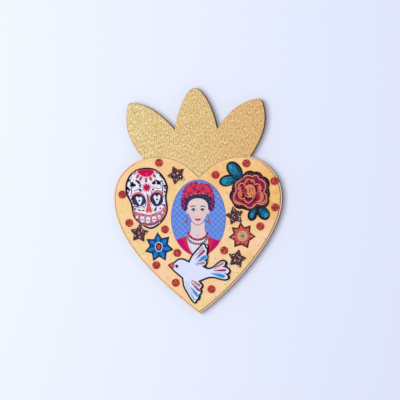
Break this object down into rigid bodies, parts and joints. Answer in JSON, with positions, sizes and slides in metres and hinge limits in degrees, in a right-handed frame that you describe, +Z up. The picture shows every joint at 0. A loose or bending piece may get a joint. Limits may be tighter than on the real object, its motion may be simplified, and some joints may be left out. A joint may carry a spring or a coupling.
{
  "type": "heart wall plaque",
  "caption": "Heart-shaped wall plaque with a three-leaf gold crown, decorated with paper cut-outs and glitter shapes, on a sawtooth hanger.",
  "frame": {"origin": "the middle notch of the hanger, on the wall, where the wall's nail carries the plaque", "axes": "+Z up, +X to the right as seen from the front, -Y out of the wall towards the viewer"},
  "size_m": [0.1283, 0.0074, 0.1693],
  "materials": {
    "board": "raw fibreboard with dark laser-cut edges",
    "heart_card": "matte, printed in mottled peach and yellow",
    "gold_card": "gold foil with a fine upright grain",
    "cameo_paper": "matte print",
    "skull_paper": "matte print",
    "rose_paper": "matte print",
    "dove_paper": "matte print",
    "blue_flower_paper": "matte print",
    "red_flower_paper": "matte print",
    "brown_glitter": "glitter in dark maroon",
    "red_glitter": "glitter in red",
    "zinc_steel": "zinc plated",
    "nail_steel": "brass plated"
  },
  "bodies": {
    "root": {"back_board": "board", "heart_card": "heart_card", "crown_card": "gold_card", "cameo_card": "cameo_paper", "skull_cutout": "skull_paper", "rose_cutout": "rose_paper", "dove_cutout": "dove_paper", "blue_star_flower": "blue_flower_paper", "red_star_flower": "red_flower_paper", "glitter_star_1": "brown_glitter", "glitter_star_2": "brown_glitter", "glitter_star_3": "brown_glitter", "glitter_star_4": "brown_glitter", "glitter_round_01": "red_glitter", "glitter_round_02": "red_glitter", "glitter_round_03": "red_glitter", "glitter_round_04": "red_glitter", "glitter_round_05": "red_glitter", "glitter_round_06": "red_glitter", "glitter_round_07": "red_glitter", "glitter_round_08": "red_glitter", "glitter_round_09": "red_glitter", "glitter_round_10": "red_glitter", "glitter_round_11": "red_glitter", "glitter_round_12": "red_glitter", "glitter_round_13": "red_glitter", "glitter_round_14": "red_glitter", "sawtooth_hanger": "zinc_steel", "hanger_nail_left": "nail_steel", "hanger_nail_right": "nail_steel"}
  },
  "joints": []
}
